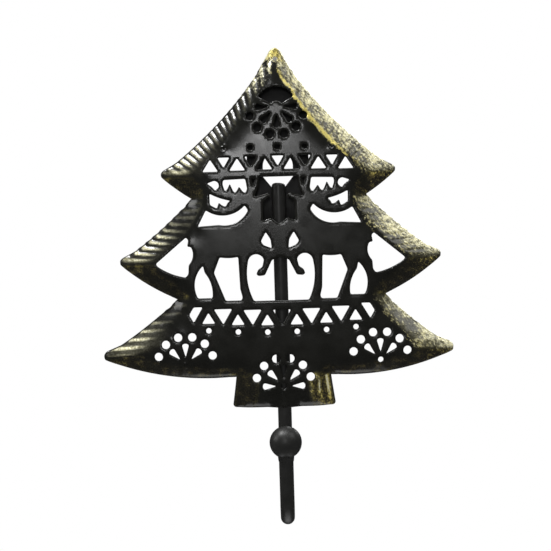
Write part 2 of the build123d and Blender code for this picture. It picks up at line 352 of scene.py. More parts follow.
# %% [markdown]
# A fine grid fills the rest where the sheet bends, and a grid of every other point where it is flat. Three
# dots of the pattern are struck into the sheet but not through it, so the CAD has no hole there. Rings of
# points carry them.

# %% Grid and struck dots
GRID = 0.56
GRID_CLEAR = EDGE_W + 0.4 * GRID
RAY_FROM = -60.0
BENT_FROM = 0.06
STRUCK = np.array([(-22.5, 7.13), (22.5, 7.13), (-40.4, -81.9)])
STRUCK_R, STRUCK_CLEAR = 1.15, 1.7
STRUCK_RINGS, STRUCK_POINTS = (0.25, 0.6, 0.85, 1.05, 1.35), 16

skin_tree = BVHTree.FromBMesh(skin)


def skin_depth(x, z):
    """Depth of the CAD's front skin at a point, or None where there is none."""
    hit = skin_tree.ray_cast(Vector((x, RAY_FROM, z)), Vector((0, 1, 0)))[0]
    return hit.y if hit else None


low, high = outline.min(0), outline.max(0)
columns = np.arange(low[0], high[0], GRID)
rows = np.arange(low[1], high[1], GRID * math.sqrt(0.75))
numbers = np.array([(row, column) for row in range(len(rows)) for column in range(len(columns))])
grid = np.column_stack([columns[numbers[:, 1]] + GRID / 2 * (numbers[:, 0] % 2), rows[numbers[:, 0]]])
keep = on_metal(grid)
grid, numbers = grid[keep], numbers[keep]
depth = np.array([skin_depth(x, z) or 0.0 for x, z in grid])
wanted = (depth > np.median(depth) + BENT_FROM) | np.all(numbers % 2 == 0, axis=1)
struck_tree = tree_of(STRUCK)
clear = (off_rim(grid) > GRID_CLEAR) & (off_rim(grid, struck_tree) > STRUCK_CLEAR * STRUCK_R)
turns = np.linspace(0, 2 * math.pi, STRUCK_POINTS, endpoint=False)
ring = np.column_stack([np.cos(turns), np.sin(turns)])
marks = [dot + ring * STRUCK_R * share for dot in STRUCK for share in STRUCK_RINGS]
grid = np.concatenate([grid[clear & wanted]] + marks)
print("points in the grid:", len(grid), "struck dots:", len(STRUCK))

# %% [markdown]
# ## Triangles
# Filling the outline with Blender's own fill would give long thin triangles, which shade badly once they
# bend. A Delaunay triangulation joins the points to even ones and keeps every rim as an edge. What falls into
# an opening is left out.

# %% Triangles of the sheet
flat = np.concatenate([rim_points, inner, grid])
sides = []
for rim in rims:
    start = len(sides)
    sides += [(start + k, start + (k + 1) % len(rim)) for k in range(len(rim))]
flat, _, triangles = delaunay_2d_cdt([Vector(p) for p in flat], sides, [], 1, 1e-4, False)[:3]
flat, triangles = np.array(flat), np.array(triangles)
triangles = triangles[on_metal(flat[triangles].mean(axis=1))]
used, triangles = np.unique(triangles, return_inverse=True)
triangles = triangles.reshape(-1, 3)
flat = flat[used]
print("sheet points:", len(flat), "triangles:", len(triangles))

# %% [markdown]
# ## Depth of the sheet
# Each point gets its depth from the CAD skin behind it. One ray would copy the sharp fold, so a small plane
# is fitted to rays around the point: a wide plane gives the soft bend that sheet takes, and a narrow one
# still shows the flutes. Against a middle one, it says how far a flute's ridge stands out, which the gold
# needs later.

# %% Planes fitted to the skin
RIM_SOFT = 2.8
FLUTE_WIDE, FLUTE_FINE = 1.7, 0.5
FLUTE_CLEAR = 1.6
RAY_RINGS = ((0.5, 6), (1.0, 10))
FEWEST_HITS = 5
NEAREST_FROM = -5.0


def fitted_depth(points, radius):
    """Depth and slope of a plane fitted to the skin within radius of each point."""
    offsets = [(0.0, 0.0)]
    for ring, count in RAY_RINGS:
        turns = [2 * math.pi * k / count for k in range(count)]
        offsets += [(radius * ring * math.cos(turn), radius * ring * math.sin(turn)) for turn in turns]
    offsets = np.array(offsets)
    depth = np.full((len(points), len(offsets)), np.nan)
    for row, (x, z) in enumerate(points):
        for column, (dx, dz) in enumerate(offsets):
            depth[row, column] = skin_depth(x + dx, z + dz)
    seen = ~np.isnan(depth)
    basis = np.stack([np.ones(len(offsets)), offsets[:, 0], offsets[:, 1]], 1)
    products = basis[:, :, None] * basis[:, None, :]
    matrices = np.einsum("pk,kij->pij", seen.astype(float), products) + np.eye(3) * 1e-6
    right_sides = np.einsum("pk,ki->pi", np.where(seen, depth, 0.0), basis)
    planes = np.linalg.solve(matrices, right_sides[:, :, None])[:, :, 0]
    for row in np.flatnonzero(seen.sum(1) < FEWEST_HITS):
        near = skin_tree.find_nearest(Vector((points[row, 0], NEAREST_FROM, points[row, 1])))[0]
        planes[row] = (near.y, 0, 0)
    return planes


soft = fitted_depth(flat, RIM_SOFT)
front_depth = float(np.median(soft[:, 0]))
drop = soft[:, 0] - front_depth
facing = soft[:, 1:] / np.maximum(np.hypot(soft[:, 1], soft[:, 2]), 1e-6)[:, None]
off_outline = off_rim(flat, tree_of(outline))
probe = flat - facing * np.clip(FLUTE_CLEAR - off_outline, 0, None)[:, None]
ridge = fitted_depth(probe, FLUTE_WIDE)[:, 0] - fitted_depth(probe, FLUTE_FINE)[:, 0]
print("front at mm:", round(front_depth, 2), "rim depth mm:", round(float(drop.max()), 2))

# %% [markdown]
# Sheet that is bent over a stake has no creases, so the depth is eased over the triangles, except close to
# the outline, which keeps its place. At the blunt ends it is eased up to the edge. A punch leaves a hollow
# with a low lip around it, and the struck dots get both.

# %% Eased bend and struck dots
EASE_ROUNDS, EASE_LONG = 36, 2.5
END_REACH, END_FADE, END_MOST = 6, 4, 0.8
STRUCK_DEEP, STRUCK_LIP = 0.5, 0.12
LIP_PLACE, LIP_W = 1.1, 0.2


def smoothed(values, rounds):
    """The values averaged over the triangles around each point, as often as rounds says."""
    shares = np.bincount(triangles.ravel(), minlength=len(values))
    for _ in range(rounds):
        means = np.repeat(values[triangles].mean(axis=1), 3)
        values = np.bincount(triangles.ravel(), means, minlength=len(values)) / shares
    return values


eased = smoothed(soft[:, 0], EASE_ROUNDS)
at_ends = np.clip((END_REACH - off_rim(flat, tree_of(ends))) / END_FADE, 0, END_MOST)
sheet_depth = soft[:, 0] + (eased - soft[:, 0]) * np.maximum(np.clip(off_outline / EASE_LONG, 0, 1), at_ends)
off_struck = off_rim(flat, struck_tree) / STRUCK_R
hollow = STRUCK_DEEP * np.clip(1 - off_struck ** 2, 0, None)
sheet_depth += hollow - STRUCK_LIP * np.exp(-((off_struck - LIP_PLACE) / LIP_W) ** 2)
print("struck mm deep:", round(float(hollow.max()), 2))

# %% [markdown]
# ## Zones of the tree
# On the real hook the gold was wiped on with a nearly dry brush, after the black. It took on the slopes that
# face up and to the right, on the ridges of the left slopes, at the top and a little underneath. The same
# zones also carry painted light: more and paler gold where the slopes face the light from the upper right,
# cream on lit ridges and edges as painted highlight, and brown underneath as painted shade. A painted mask
# could say where, but numbers worked out from the shape follow it by themselves. So each point first gets a
# share from 0 to 1 in every zone: by the way it faces, how far it drops back, its tier, and how near it is
# to a tip.

# %% Zones
FACING_ROUNDS = 36
TRUNK_H = 14.0
FAR_AWAY = 99


def ramp(values, start, end):
    """Smooth step from 0 at start to 1 at end."""
    share = np.clip((values - start) / (end - start), 0, 1)
    return share * share * (3 - 2 * share)


def blend(values, other, share):
    """The values, turned towards others by a share."""
    return values + (other - values) * share


across, upward = smoothed(facing[:, 0], FACING_ROUNDS), smoothed(facing[:, 1], FACING_ROUNDS)
x, z = flat.T
foot, peak, first_z = z.min(), z.max(), tips[:, 1].max()
tips_up = tips[np.argsort(tips[:, 1])]
to_tip = off_rim(flat, tree_of(tips))
to_own = [np.where(z > point[1] - 3, np.hypot(x - point[0], z - point[1]), FAR_AWAY) for point in tips]
tip, lower = 1 - ramp(to_tip, 4, 19), 1 - ramp(np.min(to_own, axis=0), 12, 32)

first = ramp(z, first_z - 1, first_z + 5)
third = ramp(tips_up[2:4, 1].min() - z, 0, 4) * ramp(upward, -0.3, 0.2)
upper, top = ramp(z, peak - 28, peak - 10), ramp(z, peak - 8, peak - 3)
trunk = ramp(foot + TRUNK_H - z, -1, 1)

outer = np.clip(drop / drop.max(), 0, 1)
rim = ramp(drop, 0.35, 0.75)
lip = ramp(off_outline, 0.3, 0.9)
fold = ramp(drop, 0.12, 0.36) * (1 - ramp(drop, 0.5, 1.1))
right = ramp(across, 0.1, 0.5) * ramp(upward, -0.3, 0.3) * (1 - trunk)
left = ramp(-across, 0.1, 0.5) * ramp(upward, 0.0, 0.5) * (1 - trunk)
under = ramp(-upward, -0.1, 0.5) * (1 - trunk)
print("share facing right, left, down:", [round(float(zone.mean()), 2) for zone in (right, left, under)])

# %% [markdown]
# ## Flutes and ribs
# The rims were chased with a blunt chisel. The flutes of the middle tier come from the ridges measured above.
# Those of the first tier fan out from a point below, those of the third lie nearly flat, and the foot has
# upright ribs. They could be carved one by one, but each kind is a wave along an angle, a height or a
# distance, so a cosine draws them all and its pitch can be changed at will.

# %% Flutes and ribs
FLUTE_RELIEF = 0.14
FAN_Z, FAN_PITCH = -28.0, 0.055
FLUTE_RISE, FLUTE_TILT = 3.1, 0.07
RIB_FIRST, RIB_PITCH = 2.1, 3.7
CALM_RIGHT = 0.75

waves = np.clip(ridge / (0.02 + 0.11 * outer), -1, 1) * ramp(np.hypot(across, upward), 0.7, 0.93)
fan = np.cos(np.arctan2(z - FAN_Z, np.abs(x)) * 2 * math.pi / FAN_PITCH)
waves = blend(waves, fan, first)
rise = sum(np.where(x * tip_x > 0, z - tip_z - FLUTE_TILT * np.abs(tip_x - x), 0)
           for tip_x, tip_z in tips_up[:2])
waves = blend(waves, np.cos(2 * math.pi * rise / FLUTE_RISE), third)
side_x, side_z = np.abs(outline[:, 0]), outline[:, 1]
on_side = (side_z > foot + 2) & (side_z < foot + 11) & (side_x > CHANNEL_W)
off_side = np.polyval(np.polyfit(side_z[on_side], side_x[on_side], 1), z) - np.abs(x)
waves = blend(waves, np.cos(2 * math.pi * (off_side - RIB_FIRST) / RIB_PITCH), trunk)

ribs = trunk * (1 - ramp(off_side, 8, 11)) * ramp(off_side, 0.3, 1.2)
bent = np.maximum(ramp(drop, 0.4, 1.4), ribs)
strong = np.maximum(np.maximum(first, ribs), 0.3 + 0.7 * lower)
ridge = waves * FLUTE_RELIEF * (0.4 + 0.6 * outer) * bent * lip * strong
ridge *= 1 - CALM_RIGHT * third * (x > 0)
crest, streak = ramp(waves, -0.2, 0.9) * bent, ramp(waves, 0.15, 1.0) * bent
print("ridges mm:", round(float(ridge.max()), 2))

# %% [markdown]
# ## Brush weights and painted light
# A loaded brush leaves thick gold, and a nearly empty one a thin film. They look different, so they get a
# weight each. The thick gold lies on the right rims, more of it towards their outer edge and along the fold
# of the first tier, on the top, under the tips and on the ribs at the right of the foot. On the right rims
# its amount is also painted light from the upper right, and on the crest lines of the ribs a painted
# highlight. One mask for both would be simpler, but then the film would turn into specks as well.

# %% Thick gold
# More gold on slopes facing up and to the right: brushed gold, and painted light from the upper right.
thick_gold_with_painted_light = right * ramp(drop, 0.15, 0.5) * (
    0.26 + 0.04 * first - 0.06 * third + 0.36 * ramp(outer, 0.2, 0.9) + 0.1 * crest)
thick_gold_with_painted_light += right * (1 - ramp(to_tip, 2, 10)) * blend(-0.2, 0.25, third)
thick_gold_with_painted_light += right * ramp(z, 2, 14) * 0.75 * fold
thick_gold_with_painted_light += rim * under * tip * (0.08 + 0.3 * ramp(across, -0.2, 0.3))
thick_gold_with_painted_light += rim * left * first * upper * (0.15 + 0.4 * crest)
fading = ramp(z, foot + 1, foot + 9)
# On the right ribs, gold on the narrow crest lines, fading towards the bottom, is a painted highlight.
thick_gold_with_painted_light += ribs * np.where(x > 0, 0.12 + 0.2 * crest + 0.6 * fading * streak, 0.03)
thick_gold_with_painted_light = np.maximum(thick_gold_with_painted_light, 0.75 * rim * top)
print("share with thick gold:", round(float((thick_gold_with_painted_light > 0.5).mean()), 3))

# %% [markdown]
# The film sits on the crests of the left flutes, in smears underneath and on the foot, and between the specks
# on the right. On the left crests it is also a painted highlight, strongest near each tier's tip. A third
# number is the gold's tone: brown underneath as painted shade, yellow at the fold and the top, and cream on
# the left crests, at the outer edges and on the ribs' crest lines as painted highlight.

# %% Thin gold and its tone
SMEAR_LONG, SMEAR_HIGH = 3.4, 1.9

smear = [cloud.noise((a / SMEAR_LONG, b / SMEAR_HIGH, 0.0)) for a, b in flat]
smear = ramp(np.array(smear), 0.0, 0.45)
# On the left crests the film, strongest near each tier's tip, is partly a painted highlight.
gold_film_and_highlight = lip * left * blend(streak, crest, tip) * (
    0.08 + (1.3 - 0.4 * first) * lower * ramp(outer, 0.1, 0.5))
gold_film_and_highlight += lip * left * (0.02 + 0.08 * third) * lower
gold_film_and_highlight += rim * under * (0.04 + 0.22 * smear)
gold_film_and_highlight += ribs * np.where(x > 0, 0.16 + 0.3 * smear, 0.05 + 0.12 * smear)
gold_film_and_highlight += right * ramp(drop, 0.4, 1.6) * (0.06 + 0.16 * outer) * (1 + 0.2 * third)

# Paler towards the outer edges of the top and of the right rims: painted highlight.
yellow = 0.45 + 0.3 * top * ramp(outer, 0.6, 1.0)
pale = blend(0.64 + 0.24 * outer, yellow, np.maximum(fold * first, top))
# Brown underneath: painted shade.
pale = blend(pale, 0.16 + 0.1 * tip, under)
# Cream on the left crests: painted highlight.
pale = blend(pale, 0.85, left * (1 - top))
# Cream on the crest lines of the right ribs, fading towards the bottom: painted highlight.
pale = blend(pale, np.where(x > 0, 0.26 + 0.6 * fading * streak, 0.18), ribs)
film_share, mean_tone = float((gold_film_and_highlight > 0.1).mean()), float(pale.mean())
print("share with a film:", round(film_share, 3), "mean tone:", round(mean_tone, 2))

# %% [markdown]
# ## Helpers for nodes
# The finishes and the repeated shapes are node trees. They could be clicked together, but built in the script
# they can be read and changed line by line. One small function adds any node, sets its options and fills its
# inputs, either with a value or with a link. Two more turn sizes and colours into what nodes expect.

# %% Node helpers
def add(tree, kind, inputs=None, **options):
    """Adds a node, sets its options and fills its inputs with values or links."""
    node = tree.nodes.new(kind)
    for name, value in options.items():
        setattr(node, name, value)
    for name, value in (inputs or {}).items():
        if isinstance(value, bpy.types.NodeSocket):
            tree.links.new(value, node.inputs[name])
        else:
            node.inputs[name].default_value = value
    return node


def new_material(name):
    """An empty material, and the tree that its nodes go into."""
    material = bpy.data.materials.new(name)
    material.use_nodes = True
    material.node_tree.nodes.clear()
    return material, material.node_tree


def per_mm(size):
    """Texture scale for a pattern that repeats about every size millimetres."""
    return 1 / (size * MM)


def srgb(code):
    """A hex colour as the linear colour that shaders work in."""
    parts = [int(code[k:k + 2], 16) / 255 for k in (1, 3, 5)]
    return tuple(c / 12.92 if c <= 0.04045 else ((c + 0.055) / 1.055) ** 2.4 for c in parts) + (1.0,)


print("white in shader values:", srgb("#ffffff"))

# %% [markdown]
# A geometry tree works on an object as a modifier. Its inputs have names for the reader and identifiers for
# the modifier, and the identifiers have to be set before the object is first evaluated. The result is copied
# to a plain mesh, because the export drops instances. A piece then takes the place of its CAD node.

# %% Geometry helpers
def in_scene(name, data):
    """A new object in the scene."""
    obj = bpy.data.objects.new(name, data)
    bpy.context.scene.collection.objects.link(obj)
    return obj


def new_tree(name, **inputs):
    """An empty geometry tree with named number inputs, and its two end nodes."""
    tree = bpy.data.node_groups.new(name, "GeometryNodeTree")
    tree.interface.new_socket("Geometry", in_out="INPUT", socket_type="NodeSocketGeometry")
    for label in inputs:
        socket = tree.interface.new_socket(label, in_out="INPUT", socket_type="NodeSocketFloat")
        socket.default_value = inputs[label]
    tree.interface.new_socket("Geometry", in_out="OUTPUT", socket_type="NodeSocketGeometry")
    return tree, add(tree, "NodeGroupInput").outputs, add(tree, "NodeGroupOutput").inputs[0]


def end_tree(tree, geometry, paint, result):
    """The end of every geometry tree here: smooth shading, realised instances and the paint."""
    smooth = add(tree, "GeometryNodeSetShadeSmooth", {"Geometry": geometry}).outputs[0]
    real = add(tree, "GeometryNodeRealizeInstances", {"Geometry": smooth}).outputs[0]
    painted = add(tree, "GeometryNodeSetMaterial", {"Geometry": real, "Material": paint}).outputs[0]
    tree.links.new(painted, result)


def shaped(obj, tree, **inputs):
    """The mesh that a geometry tree makes of an object, which itself is removed."""
    modifier = obj.modifiers.new(tree.name, "NODES")
    modifier.node_group = tree
    for item in tree.interface.items_tree:
        if item.in_out == "INPUT" and item.name in inputs:
            modifier[item.identifier] = inputs[item.name]
    obj.update_tag()
    ready = obj.evaluated_get(bpy.context.evaluated_depsgraph_get())
    mesh = bpy.data.meshes.new_from_object(ready)
    bpy.data.objects.remove(obj)
    return mesh


def as_piece(name, mesh, node):
    """Puts a finished mesh in the scene as the piece that stands for a CAD node."""
    piece = in_scene(name, mesh)
    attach(piece, "root")
    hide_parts(node)
    mesh.calc_loop_triangles()
    print(name, "triangles:", len(mesh.loop_triangles))


print("node groups so far:", len(bpy.data.node_groups))

# %% [markdown]
# ## Finish: gold brushed over black enamel, with painted light
# The sheet is sprayed satin black. The gold is a metal paint, broken up because the brush only touched the
# high spots, and its amount and tone also carry painted light and shade. A picture could be laid over the
# tree, but nodes stay sharp at any distance. They start from the three weights of the sheet and from three
# noises: specks drawn out along the brush, patches, and the grain of the paint.

# %% Weights and noises of the gilding
SPECK_LONG, SPECK_W = 1.6, 0.9
BRUSH_TURN = 42
PATCH, GRAIN = 6.0, 0.6

gold_with_painted_light, tree = new_material("gold_and_painted_light_on_black_enamel")
place = add(tree, "ShaderNodeTexCoord").outputs["Object"]
thick_gold_with_light_in, film_and_highlight_in, pale_in = (
    add(tree, "ShaderNodeAttribute", attribute_name=name).outputs["Fac"]
    for name in ("thick_gold_with_painted_light", "gold_film_and_highlight", "pale"))
along = add(tree, "ShaderNodeMapping", {
    "Vector": place, "Rotation": (0, math.radians(BRUSH_TURN), 0),
    "Scale": (SPECK_LONG * MM, SPECK_W * MM, SPECK_W * MM)}, vector_type="TEXTURE").outputs[0]
speck = add(tree, "ShaderNodeTexNoise", {
    "Vector": along, "Scale": 1.0, "Detail": 4.0, "Roughness": 0.7}).outputs["Fac"]
patch, grain = (
    add(tree, "ShaderNodeTexNoise", {"Vector": place, "Scale": per_mm(size), "Detail": 2.0}).outputs["Fac"]
    for size in (PATCH, GRAIN))
print(gold_with_painted_light.name, "speck mm:", SPECK_LONG, SPECK_W, "patch mm:", PATCH, "grain mm:", GRAIN)

# %% [markdown]
# Where weight, specks and patches add up to enough, there is gold. So it thins out in specks, as from a dry
# brush, and not as a grey blend. Where there is no weight at all, no speck can appear.

# %% Where the gold took
PATCHY = 0.22
GOLD_FROM, GOLD_FULL = 0.74, 1.4

spread = add(tree, "ShaderNodeMapRange", {0: speck, 1: 0.3, 2: 0.7}).outputs[0]
patchy = add(tree, "ShaderNodeMapRange", {0: patch, 1: 0.3, 2: 0.7, 3: -PATCHY, 4: PATCHY}).outputs[0]
weighed = add(tree, "ShaderNodeMath", {0: thick_gold_with_light_in, 1: spread}, operation="ADD").outputs[0]
weighed = add(tree, "ShaderNodeMath", {0: weighed, 1: patchy}, operation="ADD").outputs[0]
taken = add(tree, "ShaderNodeMapRange", {
    0: weighed, 1: GOLD_FROM, 2: GOLD_FULL}, interpolation_type="SMOOTHSTEP").outputs[0]
reach = add(tree, "ShaderNodeMapRange", {0: thick_gold_with_light_in, 1: 0.03, 2: 0.2}).outputs[0]
gold = add(tree, "ShaderNodeMath", {0: taken, 1: reach}, operation="MULTIPLY").outputs[0]
print("gold from a sum of", GOLD_FROM, "to", GOLD_FULL)

# %% [markdown]
# The gold's colour runs from brown, painted shade underneath, through yellow to cream, painted highlight on
# lit crests and edges, by the tone weight and a little by the grain. The film, partly a painted highlight, is
# thin and broken, so it is mixed into the black first, and the thick gold over both.

# %% Colours of the gilding
GOLDS = ((0.25, "#6a5f38"), (0.45, "#dccb6c"), (0.62, "#bcb37e"), (0.8, "#d5d0aa"))
# The darkest stop is painted shade underneath, the lightest a painted highlight.
SHADED_BROWN, HIGHLIGHT_CREAM = "#2e2717", "#eeebd0"
BLACKS = "#10100e", "#191916"

tint = add(tree, "ShaderNodeMapRange", {0: grain, 1: 0.3, 2: 0.7, 3: -0.15, 4: 0.15}).outputs[0]
light = add(tree, "ShaderNodeMath", {0: pale_in, 1: tint}, operation="ADD").outputs[0]
tone = add(tree, "ShaderNodeValToRGB", {0: light})
for stop, code in zip(tone.color_ramp.elements, (SHADED_BROWN, HIGHLIGHT_CREAM)):
    stop.color = srgb(code)
for position, code in GOLDS:
    tone.color_ramp.elements.new(position).color = srgb(code)
tone = tone.outputs[0]
enamel = add(tree, "ShaderNodeMix", {
    0: patch, 6: srgb(BLACKS[0]), 7: srgb(BLACKS[1])}, data_type="RGBA").outputs[2]
broken = add(tree, "ShaderNodeMapRange", {0: grain, 1: 0.36, 2: 0.6, 3: 0.45}).outputs[0]
uneven = add(tree, "ShaderNodeMapRange", {0: patch, 1: 0.3, 2: 0.6, 3: 0.5}).outputs[0]
covered = add(tree, "ShaderNodeMath", {0: broken, 1: uneven}, operation="MULTIPLY").outputs[0]
film_and_highlight = add(tree, "ShaderNodeMath", {0: film_and_highlight_in, 1: covered}, operation="MULTIPLY").outputs[0]
filmed_with_highlight = add(tree, "ShaderNodeMix", {0: film_and_highlight, 6: enamel, 7: tone}, data_type="RGBA").outputs[2]
colour = add(tree, "ShaderNodeMix", {0: gold, 6: filmed_with_highlight, 7: tone}, data_type="RGBA").outputs[2]
print("tones of gold:", len(GOLDS) + 2)

# %% [markdown]
# Enamel is glossier than brushed metal paint, and smooth, while the gold stands on it in small ridges.

# %% Gloss and relief of the gilding
# To the eye: deep satin black with clear reflections, and dull gold that glitters where it lies thick.
METAL_MOST = 0.35
ENAMEL_ROUGH, GOLD_ROUGH = (0.17, 0.25), 0.34
PAINT_HIGH = 0.25

metal = add(tree, "ShaderNodeMath", {0: gold, 1: METAL_MOST}, operation="MULTIPLY").outputs[0]
satin = add(tree, "ShaderNodeMapRange", {
    0: patch, 1: 0.3, 2: 0.7, 3: ENAMEL_ROUGH[0], 4: ENAMEL_ROUGH[1]}).outputs[0]
rough = add(tree, "ShaderNodeMix", {0: gold, 2: satin, 3: GOLD_ROUGH}, data_type="FLOAT").outputs[0]
height = add(tree, "ShaderNodeMix", {0: gold, 2: grain, 3: speck}, data_type="FLOAT").outputs[0]
strength = add(tree, "ShaderNodeMapRange", {0: gold, 3: 0.04, 4: 0.6}).outputs[0]
bump = add(tree, "ShaderNodeBump", {
    "Height": height, "Strength": strength, "Distance": PAINT_HIGH * MM}).outputs[0]
shader = add(tree, "ShaderNodeBsdfPrincipled", {
    "Base Color": colour, "Metallic": metal, "Roughness": rough, "Specular IOR Level": 0.4, "Normal": bump})
add(tree, "ShaderNodeOutputMaterial", {"Surface": shader.outputs[0]})
print(gold_with_painted_light.name, "nodes:", len(tree.nodes))

# %% [markdown]
# ## The tree
# The tree is one closed sheet: the front points, the same points one sheet thickness behind them, and a wall
# along every loop. A Solidify modifier could do that too, but here the edges also roll back a little, as cut
# edges do under paint. The weights go along as attributes. Only the front was brushed, so the back has no
# gold.

# %% Closed sheet
SHEET_T = 1.0
EDGE_ROLL = 0.36

roll = EDGE_ROLL * (1 - np.clip(off_rim(flat) / EDGE_W, 0, 1)) ** 2
front = np.column_stack([flat[:, 0], sheet_depth + roll, flat[:, 1]]) * MM
back = np.column_stack([flat[:, 0], sheet_depth + SHEET_T - roll / 2, flat[:, 1]]) * MM
count = len(flat)
ways = {(a, b) for t in triangles.tolist() for a, b in ((t[0], t[1]), (t[1], t[2]), (t[2], t[0]))}
walls = [(b, a, a + count, b + count) for a, b in sorted(ways) if (b, a) not in ways]
faces = triangles.tolist() + [(a + count, c + count, b + count) for a, b, c in triangles.tolist()] + walls

mesh = bpy.data.meshes.new("tree")
mesh.from_pydata(np.concatenate([front, back]).tolist(), [], faces)
both_sides, front_only = 1, 0
for name, values, behind in (
        ("ridge", ridge * MM, both_sides), ("rim", rim, both_sides),
        ("thick_gold_with_painted_light", thick_gold_with_painted_light, front_only), ("gold_film_and_highlight", gold_film_and_highlight, front_only), ("pale", pale, front_only)):
    layer = mesh.attributes.new(name, "FLOAT", "POINT")
    layer.data.foreach_set("value", np.concatenate([values, values * behind]).astype(np.float32))
sheet = in_scene("sheet", mesh)
print("faces of the sheet:", len(faces), "walls along the rims:", len(walls))

# %% [markdown]
# The flutes and the shallow hammer marks of the rims are raised by a geometry tree. Sculpting would do, but
# the tree has an input for each depth, so that both can be turned up or down afterwards.

# %% Relief of the rims
FLUTE_GAIN = 1.6
HAMMER_DEEP, HAMMER_SIZE = 0.3, 3.2
TREE_SHARP = 58

relief, given, result = new_tree(
    "Rim relief", **{"Flute gain": 1.0, "Hammer depth": 0.0, "Hammer scale": 100.0})
ridge_in, rim_in = (
    add(relief, "GeometryNodeInputNamedAttribute", {"Name": name}, data_type="FLOAT").outputs[0]
    for name in ("ridge", "rim"))
noise = add(relief, "ShaderNodeTexNoise", {"Scale": given["Hammer scale"], "Detail": 1.0}).outputs[0]
centred = add(relief, "ShaderNodeMath", {0: noise, 1: 0.5}, operation="SUBTRACT").outputs[0]
marks = add(relief, "ShaderNodeMath", {
    0: centred, 1: given["Hammer depth"]}, operation="MULTIPLY").outputs[0]
on_rim = add(relief, "ShaderNodeMath", {0: marks, 1: rim_in}, operation="MULTIPLY").outputs[0]
raised = add(relief, "ShaderNodeMath", {0: ridge_in, 1: given["Flute gain"]}, operation="MULTIPLY").outputs[0]
back_by = add(relief, "ShaderNodeMath", {0: on_rim, 1: raised}, operation="SUBTRACT").outputs[0]
offset = add(relief, "ShaderNodeCombineXYZ", {"Y": back_by}).outputs[0]
moved = add(relief, "GeometryNodeSetPosition", {"Geometry": given["Geometry"], "Offset": offset}).outputs[0]
end_tree(relief, moved, gold_with_painted_light, result)

mesh = shaped(sheet, relief, **{
    "Flute gain": FLUTE_GAIN, "Hammer depth": HAMMER_DEEP * MM, "Hammer scale": per_mm(HAMMER_SIZE)})
mesh.set_sharp_from_angle(angle=math.radians(TREE_SHARP))
as_piece("fir_tree", mesh, "tree_plate")

# %% [markdown]
# ## Finish: black enamel
# Bar, ball and hanging plate carry only the black. Sprayed enamel over forged steel isn't even: it pools and
# thins over a few millimetres, and has a fine orange peel. One plain colour would look like plastic, so two
# noises give both, in tone and roughness and in a very low bump.

# %% Black enamel
POOL, PEEL = 4.0, 0.7
PEEL_HIGH = 0.2


def black_enamel(name, dark, light, glossy, dull):
    """Sprayed black enamel: to the eye dark grey with soft broad highlights that waver a little."""
    material, tree = new_material(name)
    place = add(tree, "ShaderNodeTexCoord").outputs["Object"]
    pools, peel = (
        add(tree, "ShaderNodeTexNoise", {
            "Vector": place, "Scale": per_mm(size), "Detail": detail}).outputs["Fac"]
        for size, detail in ((POOL, 3.0), (PEEL, 2.0)))
    colour = add(tree, "ShaderNodeMix", {
        0: pools, 6: srgb(dark), 7: srgb(light)}, data_type="RGBA").outputs[2]
    rough = add(tree, "ShaderNodeMapRange", {0: pools, 1: 0.3, 2: 0.7, 3: glossy, 4: dull}).outputs[0]
    bump = add(tree, "ShaderNodeBump", {
        "Height": peel, "Strength": 0.12, "Distance": PEEL_HIGH * MM}).outputs[0]
    shader = add(tree, "ShaderNodeBsdfPrincipled", {
        "Base Color": colour, "Roughness": rough, "Specular IOR Level": 0.35, "Normal": bump})
    add(tree, "ShaderNodeOutputMaterial", {"Surface": shader.outputs[0]})
    return material


# The bar was handled most and is a little glossy, the ball more even, and the plate dull, and darker as
# painted shade behind the tree.
bar_paint = black_enamel("black_enamel_on_bar", "#171716", "#232322", 0.3, 0.42)
ball_paint = black_enamel("black_enamel_on_ball", "#181817", "#242423", 0.34, 0.44)
shaded_plate_paint = black_enamel("shaded_black_enamel_on_plate", "#0e0e0d", "#181817", 0.45, 0.6)
print("enamels:", bar_paint.name, ball_paint.name, shaded_plate_paint.name)

# %% [markdown]
# ## The hook bar
# The bar is one rod, bent round a former: straight behind the tree, half a circle forward, and up to the
# ball. Its CAD mesh would show facets in the bend, so a circle is swept along a path. The path is measured
# from the boxes of the CAD nodes, and a radius at each point rounds the top end.

# %% Path of the bar
CAP_TURNS = np.radians((2, 15, 30, 45, 60, 75, 90))
CAP_HIGH, CAP_FULL = 0.5, 0.6
SHANK_STEPS, BEND_POINTS, TIP_PARTS = 90, 49, 8


def path_object(points, radii=None):
    """A curve object through the points, with a radius at each."""
    curve = bpy.data.curves.new("path", "CURVE")
    curve.dimensions = "3D"
    spline = curve.splines.new("POLY")
    spline.points.add(len(points) - 1)
    for point, place, radius in zip(spline.points, points, radii or [1.0] * len(points)):
        point.co = (*place, 1.0)
        point.radius = radius
    return in_scene("path", curve)


low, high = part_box("hook_bar")
bar_r = (high.x - low.x) / 2
shank_y, tip_y = high.y - bar_r, low.y + bar_r
bend_r = (shank_y - tip_y) / 2
bend_y, bend_z = (shank_y + tip_y) / 2, low.z + bar_r + bend_r
tip_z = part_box("hook_ball")[0].z

points = [(0, shank_y, high.z - CAP_HIGH * bar_r * (1 - math.cos(turn))) for turn in CAP_TURNS]
radii = [math.sin(turn) ** CAP_FULL for turn in CAP_TURNS]
shank_z = points[-1][2]
points += [(0, shank_y, shank_z - (shank_z - bend_z) * k / SHANK_STEPS) for k in range(1, SHANK_STEPS)]
points += [(0, bend_y + bend_r * math.cos(turn), bend_z - bend_r * math.sin(turn))
           for turn in np.linspace(0, math.pi, BEND_POINTS)]
points += [(0, tip_y, bend_z + (tip_z - bend_z) * k / TIP_PARTS) for k in range(1, TIP_PARTS + 1)]
radii += [1.0] * (len(points) - len(radii))
print("bar radius mm:", round(bar_r / MM, 2), "bend radius mm:", round(bend_r / MM, 2))

